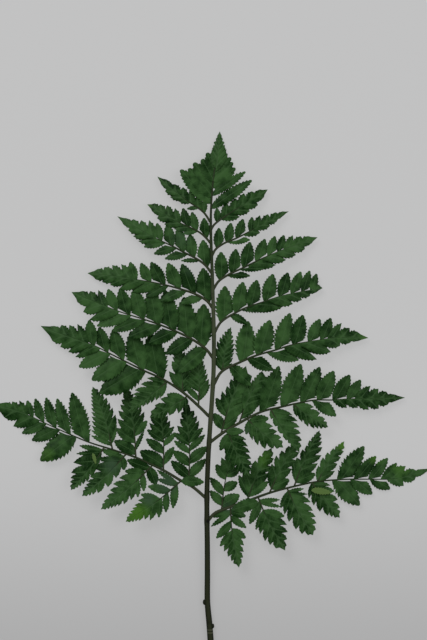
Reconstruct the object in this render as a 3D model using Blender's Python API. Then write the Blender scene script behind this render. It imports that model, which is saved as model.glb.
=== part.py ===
# Leatherleaf fern frond, cut and laid down: metres, +Z up, the tip of the frond towards +Y
# The layout below is drawn on a sheet of squares, x to the right and y down the sheet.

import math

import bmesh
import bpy
from mathutils import Matrix, Vector
from mathutils.geometry import delaunay_2d_cdt

# Driving sizes in metres
BLADE_SPAN = 0.3345           # tip to tip across the lowest pair of side branches
BLADE_THICKNESS = 0.0007
COSTA_WIDTH = 0.0017          # side rib where it leaves the midrib
COSTA_TIP_WIDTH = 0.0007
RACHILLA_WIDTH = 0.0011       # rib of a leaflet that is itself cut into lobes
SCAR_RADIUS = 0.0009          # stubs on the stem where old scales were
SCAR_LENGTH = 0.0034
SCAR_HEIGHT = 0.0027
MERGE_DISTANCE = 0.0001
WELD_SQUARES = 0.02
PATCH_SQUARES = 0.8
STRAIGHT_ANGLE = 9            # degrees: a flatter corner of an outline is left out

# The sheet of squares
SPAN_SQUARES = 446
SQUARE = BLADE_SPAN / SPAN_SQUARES
SHEET_CENTRE = Vector((211.0, 393.0))

# Rules of growth: shares of a rib's length, and widths as shares of the space between leaflets
ROOT_POWER = 1.57             # leaflets crowd together towards a rib's tip
FREE_SHARE = 0.70             # leaflets before this share of a rib are cut free of each other
LOBED_LENGTH = 31.0           # squares: a longer leaflet is cut into lobes itself
LOBE_SPACING = 11.5
LEAFLET_FILL = 0.53
FOOT_SQUARES = 4.5            # width of a leaflet's foot on its rib
SHOULDER_CUT = 0.5            # lobes with a shallower cut have no shoulder
LOBED_WIDTH = 0.40            # half width of a lobed leaflet over its length, at its foot
LOBED_FILL = 0.58
LEAN = 0.035                  # how far a lobed leaflet bows out, over its length
FIRST_CUT = 0.90              # depth of the first cut between grown-together leaflets
LAST_CUT = 0.25
TILT = 0.09                   # rise of the lower side and fall of the upper side of a branch
FLAT_FROM = 0.86              # share of the lowest branches past which they lie on the surface
TIP_HEIGHT_SHARE = 0.25       # height of the other branches' tips over that of their joints

# Midrib and stem from the cut end to the tip: x, y in squares, then height and width in metres
RACHIS = [
    (211.5, 656, 0.0024, 0.0048),
    (209.6, 628, 0.0024, 0.0047),
    (207.4, 603, 0.0026, 0.0043),
    (207.4, 575, 0.0036, 0.0042),
    (207.3, 545, 0.0055, 0.0041),
    (206.9, 515, 0.0076, 0.0039),
    (207.0, 490, 0.0092, 0.0038),
    (208.0, 462, 0.0107, 0.0037),
    (209.6, 434, 0.0120, 0.0035),
    (211.8, 402, 0.0132, 0.0034),
    (213.6, 370, 0.0138, 0.0033),
    (213.9, 335, 0.0137, 0.0031),
    (213.2, 305, 0.0127, 0.0028),
    (212.2, 272, 0.0115, 0.0024),
    (211.0, 240, 0.0107, 0.0021),
    (211.0, 210, 0.0098, 0.0017),
    (213.2, 180, 0.0075, 0.0012),
    (216.0, 160, 0.0048, 0.0010),
    (219.3, 134, 0.00035, 0.0008),
]

# Stubs on the stem: x, y, and the side to which they point
SCARS = [(205.2, 604.0, -1), (212.0, 628.0, 1)]

# Side branches in pairs from the lowest up. Each has its rib, and on its upper and lower side
# the share of the rib at which leaflets start and the tips of the leaflets in turn.
PINNAE = {
    "left_1": {
        "rib": [(206, 498), (193, 487), (180, 480), (163, 470), (137, 458), (113, 450),
                (90, 443), (70, 435), (45, 424), (18, 412), (-12, 404)],
        "upper": (0.08, [(185, 402), (159, 403), (126, 388), (92, 387), (71, 393), (56, 399),
                         (45, 398), (34, 399), (26, 401), (18, 401), (11, 402), (4, 403)]),
        "lower": (0.13, [(126, 521), (101, 509), (82, 496), (71, 490), (40, 461), (31, 441),
                         (21, 434), (12, 427), (3, 418)]),
    },
    "left_2": {
        "rib": [(209, 416), (200, 407), (183, 392), (163, 379), (143, 370), (123, 360),
                (109, 353), (95, 346), (78, 340), (58, 333), (40, 326)],
        "upper": (0.09, [(196, 344), (176, 341), (150, 333), (131, 331), (113, 329), (99, 327),
                         (89, 320), (77, 324), (69, 325), (61, 325), (53, 326)]),
        "lower": (0.15, [(150, 417), (128, 411), (100, 393), (92, 380), (79, 367), (75, 357),
                         (68, 352), (60, 347), (52, 341)]),
    },
    "left_3": {
        "rib": [(213, 358), (205, 348), (190, 338), (173, 330), (158, 324), (143, 319),
                (130, 315), (115, 310), (95, 302), (71, 292)],
        "upper": (0.08, [(204, 304), (184, 297), (165, 290), (150, 288), (134, 288), (120, 288),
                         (108, 289), (98, 290), (90, 291), (82, 291)]),
        "lower": (0.08, [(178, 372), (160, 357), (146, 344), (129, 337), (112, 331), (97, 326),
                         (89, 320), (83, 312), (77, 302)]),
    },
    "left_4": {
        "rib": [(213, 309), (207, 301), (195, 294), (180, 289), (165, 285), (150, 282),
                (138, 280), (120, 277), (87, 273)],
        "upper": (0.07, [(203, 268), (182, 264), (168, 263), (151, 262), (141, 263), (130, 262),
                         (121, 264), (112, 265), (104, 267), (97, 269)]),
        "lower": (0.09, [(181, 303), (161, 301), (146, 297), (132, 292), (119, 289), (110, 285),
                         (102, 282), (95, 279)]),
    },
    "left_5": {
        "rib": [(212, 274), (205, 265), (195, 258), (183, 252), (172, 246), (155, 238),
                (137, 228), (117, 216)],
        "upper": (0.08, [(203, 240), (190, 234), (178, 227), (167, 224), (157, 223), (149, 220),
                         (141, 220), (133, 219), (126, 218)]),
        "lower": (0.11, [(181, 261), (165, 259), (154, 254), (144, 247), (138, 241), (133, 236),
                         (128, 230), (123, 224)]),
    },
    "left_6": {
        "rib": [(211, 244), (205, 237), (197, 231), (180, 223), (165, 214), (147, 204)],
        "upper": (0.08, [(204, 218), (192, 212), (183, 208), (175, 208), (167, 205), (160, 204),
                         (154, 203)]),
        "lower": (0.12, [(183, 234), (174, 229), (164, 224), (157, 218), (152, 211)]),
    },
    "left_7": {
        "rib": [(210, 222), (205, 214), (198, 208), (186, 200), (172, 189), (157, 176)],
        "upper": (0.10, [(205, 200), (197, 193), (190, 190), (183, 187), (175, 184), (166, 179)]),
        "lower": (0.13, [(187, 209), (178, 201), (170, 197), (165, 191), (161, 184)]),
    },
    "right_1": {
        "rib": [(208, 521), (214, 514), (222, 510), (245, 502), (270, 493), (293, 487),
                (318, 482), (345, 480), (370, 480), (395, 480), (412, 476), (434, 469)],
        "upper": (0.06, [(233, 451), (272, 448), (299, 440), (320, 431), (345, 442), (365, 447),
                         (377, 457), (389, 459), (398, 464), (407, 467), (415, 470), (424, 470)]),
        "lower": (0.08, [(239, 567), (285, 550), (313, 535), (340, 518), (360, 506), (373, 495),
                         (391, 490), (405, 487), (416, 481), (425, 475)]),
    },
    "right_2": {
        "rib": [(210, 442), (222, 433), (237, 424), (260, 412), (280, 407), (298, 403),
                (315, 400), (333, 400), (350, 399), (375, 399), (406, 398)],
        "upper": (0.07, [(246, 366), (262, 371), (279, 366), (301, 364), (320, 367), (334, 371),
                         (350, 375), (361, 380), (371, 386), (379, 389), (387, 392), (396, 395)]),
        "lower": (0.09, [(249, 475), (283, 447), (299, 452), (328, 427), (336, 416), (347, 408),
                         (358, 408), (369, 410), (379, 409), (388, 405), (397, 401)]),
    },
    "right_3": {
        "rib": [(214, 384), (222, 371), (240, 362), (257, 355), (275, 350), (291, 345),
                (307, 342), (320, 340), (335, 338), (369, 338)],
        "upper": (0.09, [(231, 327), (248, 321), (270, 320), (290, 313), (303, 315), (320, 319),
                         (331, 318), (342, 323), (350, 328), (358, 332)]),
        "lower": (0.13, [(250, 386), (272, 372), (298, 361), (316, 360), (331, 351), (340, 346),
                         (350, 343), (359, 341)]),
    },
    "right_4": {
        "rib": [(214, 334), (221, 322), (235, 313), (248, 307), (263, 302), (278, 297),
                (290, 294), (305, 291), (323, 288)],
        "upper": (0.10, [(225, 286), (243, 282), (257, 280), (273, 274), (288, 272), (300, 271),
                         (310, 270), (318, 274), (321, 281)]),
        "lower": (0.12, [(244, 323), (268, 310), (282, 307), (293, 304), (302, 300), (310, 296),
                         (317, 292)]),
    },
    "right_5": {
        "rib": [(213, 290), (219, 281), (230, 274), (243, 268), (255, 262), (268, 256),
                (285, 249), (318, 237)],
        "upper": (0.10, [(221, 252), (236, 249), (250, 242), (265, 239), (275, 236), (284, 235),
                         (293, 235), (301, 236), (309, 236)]),
        "lower": (0.13, [(250, 276), (264, 269), (276, 265), (286, 260), (296, 255), (305, 249),
                         (312, 243)]),
    },
    "right_6": {
        "rib": [(212, 256), (216, 249), (225, 243), (235, 239), (245, 234), (262, 225),
                (289, 211)],
        "upper": (0.10, [(219, 228), (231, 223), (243, 219), (252, 217), (260, 215), (268, 214),
                         (276, 212), (283, 211)]),
        "lower": (0.14, [(250, 240), (260, 233), (270, 226), (277, 221), (284, 215)]),
    },
    "right_7": {
        "rib": [(211, 230), (215, 224), (226, 216), (240, 207), (253, 199), (268, 189)],
        "upper": (0.12, [(217, 208), (227, 202), (236, 198), (244, 193), (252, 191), (260, 189)]),
        "lower": (0.16, [(240, 217), (250, 211), (258, 205), (264, 197)]),
    },
}

# Small branches grown together at the top: joint, tip and half width, all in squares
TOP_BRANCHES = [
    ((211, 206), (180, 170), 7.5),
    ((211.5, 212), (251, 181), 7.5),
    ((212, 196), (188, 169), 6.5),
    ((212.5, 201), (245, 172), 6.5),
    ((213, 187), (194, 163), 6.0),
    ((213.5, 190), (235, 168), 6.0),
    ((214, 178), (202, 159), 5.0),
    ((214.5, 181), (232, 162), 5.0),
    ((215, 170), (207, 153), 4.0),
    ((215.5, 173), (230, 157), 4.5),
    ((216.5, 165), (227.5, 152), 3.5),
]
TOP_BLADE = ((215.5, 174), (219.5, 130), 10.5)
TOP_LOBE_SPACING = 8.0
TOP_BLADE_SPACING = 5.0
TOP_CUT = 0.45
TUBE_STATIONS = 16            # past these the midrib is a flat rib within the top's blade


class Path:
    """A smooth curve through a few points, read by its share of length."""

    def __init__(self, points, steps=6):
        points = [Vector(point) for point in points]
        self.points = [points[0]]
        for index in range(len(points) - 1):
            before = points[max(0, index - 1)]
            start = points[index]
            end = points[index + 1]
            after = points[min(len(points) - 1, index + 2)]
            for step in range(1, steps + 1):
                t = step / steps
                bow_start = start + (end - before) * (t / 2)
                bow_end = end - (after - start) * ((1 - t) / 2)
                blend = t * t * (3 - 2 * t)
                self.points.append(bow_start.lerp(bow_end, blend))
        self.lengths = [0.0]
        for start, end in zip(self.points, self.points[1:]):
            self.lengths.append(self.lengths[-1] + (end - start).length)
        self.length = self.lengths[-1]

    def point(self, share):
        distance = min(max(share, 0.0), 1.0) * self.length
        index = 1
        while index < len(self.lengths) - 1 and self.lengths[index] < distance:
            index += 1
        run = self.lengths[index] - self.lengths[index - 1]
        return self.points[index - 1].lerp(self.points[index], (distance - self.lengths[index - 1]) / run)

    def direction(self, share):
        return (self.point(min(share + 0.02, 1.0)) - self.point(max(share - 0.02, 0.0))).normalized()

    def nearest(self, place):
        """Share of the length, and distance, of the nearest point of the curve."""
        best = (1e9, 0.0)
        for index, (start, end) in enumerate(zip(self.points, self.points[1:])):
            run = end - start
            t = min(max((place - start).dot(run) / run.length_squared, 0.0), 1.0)
            gap = (start + run * t - place).length
            if gap < best[0]:
                best = (gap, (self.lengths[index] + run.length * t) / self.length)
        return best[1], best[0]


class Midrib(Path):
    """The midrib and stem seen from above, with the height of its centre."""

    def __init__(self):
        super().__init__([(x, y) for x, y, height, width in RACHIS])
        self.stations = [self.nearest(Vector((x, y)))[0] for x, y, height, width in RACHIS]

    def height(self, place):
        """Height at the point of the midrib nearest to a place."""
        share = self.nearest(place)[0]
        index = 1
        while index < len(RACHIS) - 1 and self.stations[index] < share:
            index += 1
        run = (share - self.stations[index - 1]) / (self.stations[index] - self.stations[index - 1])
        return RACHIS[index - 1][2] + (RACHIS[index][2] - RACHIS[index - 1][2]) * run


def side_of(direction, towards):
    """The normal of a direction, on the side that a vector points to."""
    normal = Vector((-direction.y, direction.x))
    return normal if normal.dot(towards) > 0 else -normal


def ribbon(path, start_half, end_half, steps):
    """Outline of a narrow strip along a path."""
    left = []
    right = []
    for step in range(steps + 1):
        share = step / steps
        direction = path.direction(share)
        half = start_half + (end_half - start_half) * share
        normal = Vector((-direction.y, direction.x)) * half
        left.append(path.point(share) + normal)
        right.append(path.point(share) - normal)
    return left + right[::-1]


def simple_leaflet(root, root_end, tip, basal_half, distal_half):
    """A pointed leaflet with a wedge-shaped foot, basal side first."""
    axis = (tip - (root + root_end) / 2).normalized()
    basal = side_of(axis, root - root_end)
    outline = [root]
    for share, fill in ((0.28, 0.97), (0.68, 0.80)):
        outline.append(root.lerp(tip, share) + basal * (basal_half * fill))
    outline.append(tip)
    outline.append(root_end.lerp(tip, 0.34) - basal * distal_half)
    outline.append(root_end)
    return outline


def grown_lobe(roots, tips, index, cut_before, cut_after):
    """One lobe between two cuts, of a blade that is whole along its rib."""
    root = roots[index]
    root_end = roots[index + 1]
    tip = tips[index]
    tip_after = tips[index + 1]
    notch_after = root_end.lerp(tip.lerp(tip_after, 0.5), 1 - cut_after)
    notch_before = root
    if index > 0:
        notch_before = root.lerp(tips[index - 1].lerp(tip, 0.5), 1 - cut_before)
    outline = [root, notch_before]
    if cut_after > SHOULDER_CUT:
        middle = notch_before.lerp(notch_after, 0.5)
        outline.append(middle.lerp(tip, 0.58) + (notch_before - notch_after) * 0.48)
    outline += [tip, notch_after, root_end]
    return outline


def lobed_leaflet(root, tip, basal, basal_half, distal_half, first_cut, spacing, lean=LEAN):
    """A leaflet cut into lobes that point forward, basal side given by a vector."""
    chord = tip - root
    length = chord.length
    across = side_of(chord.normalized(), basal)
    bow = root + chord * 0.42 + across * (lean * length)
    axis = Path([root, root.lerp(bow, 0.5), bow.lerp(tip, 0.25), tip], steps=3)
    count = max(3, round(length / spacing))
    outlines = [ribbon(axis, RACHILLA_WIDTH / SQUARE / 2, 0.3, 5)]
    for side, half in ((1, basal_half), (-1, distal_half)):
        shares = [0.03 + 0.97 * (1 - (1 - index / count) ** 1.3) for index in range(count + 1)]
        roots = [axis.point(share) for share in shares]
        tips = []
        for share in shares[:-1]:
            reach = min(share + 0.80 * half / length, 1.0)
            swell = 1 + 0.3 * max(0.0, 1 - reach / 0.35)
            width = min(half * swell, LOBED_WIDTH * length * math.sqrt(1 - reach))
            normal = side_of(axis.direction(reach), across) * side
            tips.append(axis.point(reach) + normal * width)
        tips.append(tip)
        cuts = [first_cut * (1 - 0.9 * share) for share in shares]
        for index in range(count):
            before = min(cuts[index], 0.93)
            after = min(cuts[index + 1], 0.93)
            outlines.append(grown_lobe(roots, tips, index, before, after))
    return outlines


def branch_side(rib, start_share, tips):
    """Outlines of all leaflets on one side of a branch."""
    tips = [Vector(tip) for tip in tips] + [rib.point(1.0)]
    count = len(tips) - 1
    shares = []
    for index in range(count + 1):
        shares.append(start_share + (1 - start_share) * (1 - (1 - index / count) ** ROOT_POWER))
    roots = [rib.point(share) for share in shares]
    outlines = []
    for index in range(count):
        root = roots[index]
        tip = tips[index]
        axis = (tip - root).normalized()
        spaces = []
        for other in (index - 1, index + 1):
            if 0 <= other <= count:
                between = (roots[other] + tips[other]) / 2 - root
                spaces.append(abs(between.cross(axis)))
        length = (tip - root).length
        share = index / count
        foot = rib.point(shares[index] + FOOT_SQUARES / rib.length)
        if share >= FREE_SHARE:
            fade = (FIRST_CUT - LAST_CUT) / (1 - FREE_SHARE)
            before = FIRST_CUT - fade * (share - 1 / count - FREE_SHARE)
            after = FIRST_CUT - fade * (share - FREE_SHARE)
            outlines.append(grown_lobe(roots, tips, index, min(before, 0.93), after))
        elif length > LOBED_LENGTH:
            first_cut = min(0.3 + (length - LOBED_LENGTH) / 35, 1.05)
            half = LOBED_FILL * spaces[-1]
            outlines += lobed_leaflet(root, tip, root - foot, half, half, first_cut, LOBE_SPACING)
        else:
            basal_half = spaces[0] * LEAFLET_FILL
            distal_half = spaces[-1] * LEAFLET_FILL
            outlines.append(simple_leaflet(root, foot, tip, basal_half, distal_half))
    return outlines


def branch_outlines(pinna):
    rib = Path(pinna["rib"])
    outlines = [ribbon(rib, COSTA_WIDTH / SQUARE / 2, COSTA_TIP_WIDTH / SQUARE / 2, 14)]
    for side in ("upper", "lower"):
        start_share, tips = pinna[side]
        outlines += branch_side(rib, start_share, tips)
    return outlines


def top_outlines():
    rib = Path([(x, y) for x, y, height, width in RACHIS[TUBE_STATIONS - 1:]])
    start_half = RACHIS[TUBE_STATIONS - 1][3] / SQUARE / 2
    end_half = RACHIS[-1][3] / SQUARE / 2
    outlines = [ribbon(rib, start_half, end_half, 8)]
    for joint, tip, half in TOP_BRANCHES:
        outlines += lobed_leaflet(Vector(joint), Vector(tip), Vector((0, 1)), half, half, TOP_CUT,
                                  TOP_LOBE_SPACING)
    joint, tip, half = TOP_BLADE
    outlines += lobed_leaflet(Vector(joint), Vector(tip), Vector((1, 0)), half, half, TOP_CUT,
                              TOP_BLADE_SPACING, 0.0)
    return outlines


def covers(outline, place):
    """Whether a place lies inside an outline."""
    inside = False
    for start, end in zip(outline, outline[1:] + outline[:1]):
        if (start.y > place.y) != (end.y > place.y):
            crossing = start.x + (place.y - start.y) / (end.y - start.y) * (end.x - start.x)
            if crossing > place.x:
                inside = not inside
    return inside


def flat_sheet(outlines):
    """One flat mesh that covers every outline once, in squares."""
    points = []
    edges = []
    for outline in outlines:
        first = len(points)
        count = len(outline)
        points += outline
        edges += [(first + index, first + (index + 1) % count) for index in range(count)]
    result = delaunay_2d_cdt(points, edges, [], 0, WELD_SQUARES, False)
    sheet = bmesh.new()
    corners = [sheet.verts.new((point.x, point.y, 0.0)) for point in result[0]]
    for face in result[2]:
        centre = sum((result[0][corner] for corner in face), Vector((0.0, 0.0))) / len(face)
        if any(covers(outline, centre) for outline in outlines):
            sheet.faces.new([corners[corner] for corner in face])
    loose = [vert for vert in sheet.verts if not vert.link_faces]
    bmesh.ops.delete(sheet, geom=loose, context="VERTS")
    bmesh.ops.dissolve_limit(sheet, angle_limit=math.radians(STRAIGHT_ANGLE), use_dissolve_boundaries=False,
                             verts=sheet.verts, edges=sheet.edges)
    bmesh.ops.triangulate(sheet, faces=sheet.faces)
    return sheet


def pinched_places(sheet):
    """Corners where two parts of a sheet touch only at a point."""
    places = []
    for vert in sheet.verts:
        if sum(edge.is_boundary for edge in vert.link_edges) > 2:
            places.append(Vector((vert.co.x, vert.co.y)))
    return places


def joined_sheet(outlines):
    """The flat sheet, with a small patch wherever it would touch itself at a point."""
    outlines = list(outlines)
    sheet = flat_sheet(outlines)
    places = pinched_places(sheet)
    while places:
        for place in places:
            steps = ((1, 0), (0, 1), (-1, 0), (0, -1))
            outlines.append([place + Vector(step) * PATCH_SQUARES for step in steps])
        sheet.free()
        sheet = flat_sheet(outlines)
        places = pinched_places(sheet)
    return sheet


def branch_height(name, pinna, midrib):
    """A function that gives the underside's height at a place on the sheet."""
    rib = Path(pinna["rib"])
    joint = midrib.height(rib.point(0.0)) - BLADE_THICKNESS / 2
    lies_down = name in ("left_1", "right_1")
    tip_height = 0.0 if lies_down else joint * TIP_HEIGHT_SHARE

    def height(place):
        share, gap = rib.nearest(place)
        above = side_of(rib.direction(share), Vector((0, -1)))
        side = 1 if (place - rib.point(share)).dot(above) > 0 else -1
        run = share / FLAT_FROM if lies_down else share
        rise = joint + (tip_height - joint) * min(run, 1.0) ** 2
        return max(rise - side * TILT * gap * SQUARE, 0.0)

    return height


def top_height(midrib):
    """The same for the blade at the top, which keeps to the midrib's height."""
    def height(place):
        return midrib.height(place) - BLADE_THICKNESS / 2

    return height


def to_metres(place, height):
    offset = (place - SHEET_CENTRE) * SQUARE
    return Vector((offset.x, -offset.y, height))


def thick_sheet(sheet, height):
    """Lift a flat sheet to its heights and give it its thickness, alike on both faces."""
    for vert in sheet.verts:
        place = Vector((vert.co.x, vert.co.y))
        vert.co = to_metres(place, height(place))
    result = bmesh.ops.extrude_face_region(sheet, geom=sheet.faces[:])
    raised = [item for item in result["geom"] if isinstance(item, bmesh.types.BMVert)]
    bmesh.ops.translate(sheet, verts=raised, vec=(0.0, 0.0, BLADE_THICKNESS))
    bmesh.ops.recalc_face_normals(sheet, faces=sheet.faces)
    return sheet


def new_object(name, mesh, collection):
    item = bpy.data.objects.new(name, mesh)
    collection.objects.link(item)
    return item


def sheet_object(name, outlines, height, collection):
    solid = thick_sheet(joined_sheet(outlines), height)
    mesh = bpy.data.meshes.new(name)
    solid.to_mesh(mesh)
    solid.free()
    return new_object(name, mesh, collection)


def stem_object(collection):
    """The midrib and stem as one tapered tube."""
    curve = bpy.data.curves.new("stem_curve", "CURVE")
    curve.dimensions = "3D"
    curve.bevel_depth = 1.0
    curve.bevel_resolution = 2
    curve.use_fill_caps = True
    spline = curve.splines.new("POLY")
    spline.points.add(TUBE_STATIONS - 1)
    for point, (x, y, height, width) in zip(spline.points, RACHIS):
        point.co = (*to_metres(Vector((x, y)), height), 1.0)
        point.radius = width / 2
    guide = new_object("stem_guide", curve, collection)
    bpy.context.view_layer.update()
    evaluated = guide.evaluated_get(bpy.context.evaluated_depsgraph_get())
    mesh = bpy.data.meshes.new_from_object(evaluated)
    stem = new_object("frond", mesh, collection)
    stem.matrix_world = guide.matrix_world
    bpy.data.objects.remove(guide)
    welded = bmesh.new()
    welded.from_mesh(mesh)
    bmesh.ops.remove_doubles(welded, verts=welded.verts, dist=MERGE_DISTANCE)
    bmesh.ops.recalc_face_normals(welded, faces=welded.faces)
    welded.to_mesh(mesh)
    welded.free()
    return stem


def scar_object(index, x, y, side, collection):
    """A small blunt stub, its foot sunk into the stem."""
    stub = bmesh.new()
    bmesh.ops.create_cone(stub, cap_ends=True, segments=6, radius1=SCAR_RADIUS,
                          radius2=SCAR_RADIUS / 2, depth=SCAR_LENGTH)
    turn = Matrix.Rotation(math.radians(90 * side), 4, "Y")
    move = Matrix.Translation(to_metres(Vector((x, y)), SCAR_HEIGHT))
    bmesh.ops.transform(stub, matrix=move @ turn, verts=stub.verts)
    mesh = bpy.data.meshes.new(f"scar_{index}")
    stub.to_mesh(mesh)
    stub.free()
    return new_object(f"scar_{index}", mesh, collection)


def leaf_material():
    material = bpy.data.materials.new("frond_green")
    material.use_nodes = True
    shader = material.node_tree.nodes["Principled BSDF"]
    shader.inputs["Base Color"].default_value = (0.018, 0.060, 0.022, 1.0)
    shader.inputs["Roughness"].default_value = 0.48
    shader.inputs["Metallic"].default_value = 0.0
    return material


def fuse(stem, pieces):
    """Join all the blades and the stem in one solid."""
    union = stem.modifiers.new("grown_together", "BOOLEAN")
    union.operation = "UNION"
    union.operand_type = "COLLECTION"
    union.collection = pieces
    union.solver = "MANIFOLD"
    bpy.context.view_layer.update()
    evaluated = stem.evaluated_get(bpy.context.evaluated_depsgraph_get())
    fused = bpy.data.meshes.new_from_object(evaluated)
    stem.modifiers.clear()
    stem.data = fused
    for item in list(pieces.objects):
        bpy.data.objects.remove(item)
    bpy.data.collections.remove(pieces)


def build():
    for item in list(bpy.data.objects):
        bpy.data.objects.remove(item)
    frond_parts = bpy.data.collections.new("leatherleaf_fern_frond")
    pieces = bpy.data.collections.new("blades")
    bpy.context.scene.collection.children.link(frond_parts)
    bpy.context.scene.collection.children.link(pieces)
    midrib = Midrib()
    stem = stem_object(frond_parts)
    for name, pinna in PINNAE.items():
        sheet_object(name, branch_outlines(pinna), branch_height(name, pinna, midrib), pieces)
    sheet_object("top", top_outlines(), top_height(midrib), pieces)
    for index, (x, y, side) in enumerate(SCARS):
        scar_object(index, x, y, side, pieces)
    fuse(stem, pieces)
    stem.data.materials.clear()
    stem.data.materials.append(leaf_material())


build()
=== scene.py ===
import math
import random

import bmesh
import bpy
import numpy as np
from mathutils import Matrix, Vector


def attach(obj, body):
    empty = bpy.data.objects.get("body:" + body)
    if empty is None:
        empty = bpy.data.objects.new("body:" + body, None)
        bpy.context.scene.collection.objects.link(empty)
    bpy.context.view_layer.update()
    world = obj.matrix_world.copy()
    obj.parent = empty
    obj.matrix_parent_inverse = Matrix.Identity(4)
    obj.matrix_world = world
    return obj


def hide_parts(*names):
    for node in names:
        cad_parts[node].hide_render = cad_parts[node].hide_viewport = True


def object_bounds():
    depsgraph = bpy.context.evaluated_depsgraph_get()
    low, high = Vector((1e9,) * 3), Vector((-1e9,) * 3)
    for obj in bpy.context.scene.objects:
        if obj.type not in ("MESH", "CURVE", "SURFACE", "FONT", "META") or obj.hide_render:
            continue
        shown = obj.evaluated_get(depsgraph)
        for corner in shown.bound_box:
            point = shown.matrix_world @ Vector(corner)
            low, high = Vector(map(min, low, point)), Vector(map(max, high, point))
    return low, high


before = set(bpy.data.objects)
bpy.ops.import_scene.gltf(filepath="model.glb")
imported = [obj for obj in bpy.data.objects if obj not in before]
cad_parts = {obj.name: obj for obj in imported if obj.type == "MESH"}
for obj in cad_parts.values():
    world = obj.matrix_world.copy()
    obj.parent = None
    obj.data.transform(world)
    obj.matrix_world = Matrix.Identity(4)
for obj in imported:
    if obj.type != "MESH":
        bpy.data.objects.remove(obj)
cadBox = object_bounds()
print("frond: frame loaded")

# The frond is laid out on a sheet of squares, x to the right and y down the sheet
sheet = {"square": 0.3345 / 446, "centreX": 211.0, "centreY": 393.0, "halfDepth": 0.00035}
millimetre = 0.001
squareMm = sheet["square"] / millimetre
chance = random.Random(11)

# Stem and midrib from the cut end to the tip: x, y in squares, height and width in metres
rachisStations = [
    (211.5, 656, 0.0024, 0.0048),
    (209.6, 628, 0.0024, 0.0047),
    (207.4, 603, 0.0026, 0.0043),
    (207.4, 575, 0.0036, 0.0042),
    (207.3, 545, 0.0055, 0.0041),
    (206.9, 515, 0.0076, 0.0039),
    (207.0, 490, 0.0092, 0.0038),
    (208.0, 462, 0.0107, 0.0037),
    (209.6, 434, 0.0120, 0.0035),
    (211.8, 402, 0.0132, 0.0034),
    (213.6, 370, 0.0138, 0.0033),
    (213.9, 335, 0.0137, 0.0031),
    (213.2, 305, 0.0127, 0.0028),
    (212.2, 272, 0.0115, 0.0024),
    (211.0, 240, 0.0107, 0.0021),
    (211.0, 210, 0.0098, 0.0017),
    (213.2, 180, 0.0075, 0.0012),
    (216.0, 160, 0.0048, 0.0010),
    (219.3, 134, 0.00035, 0.0008),
]

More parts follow.
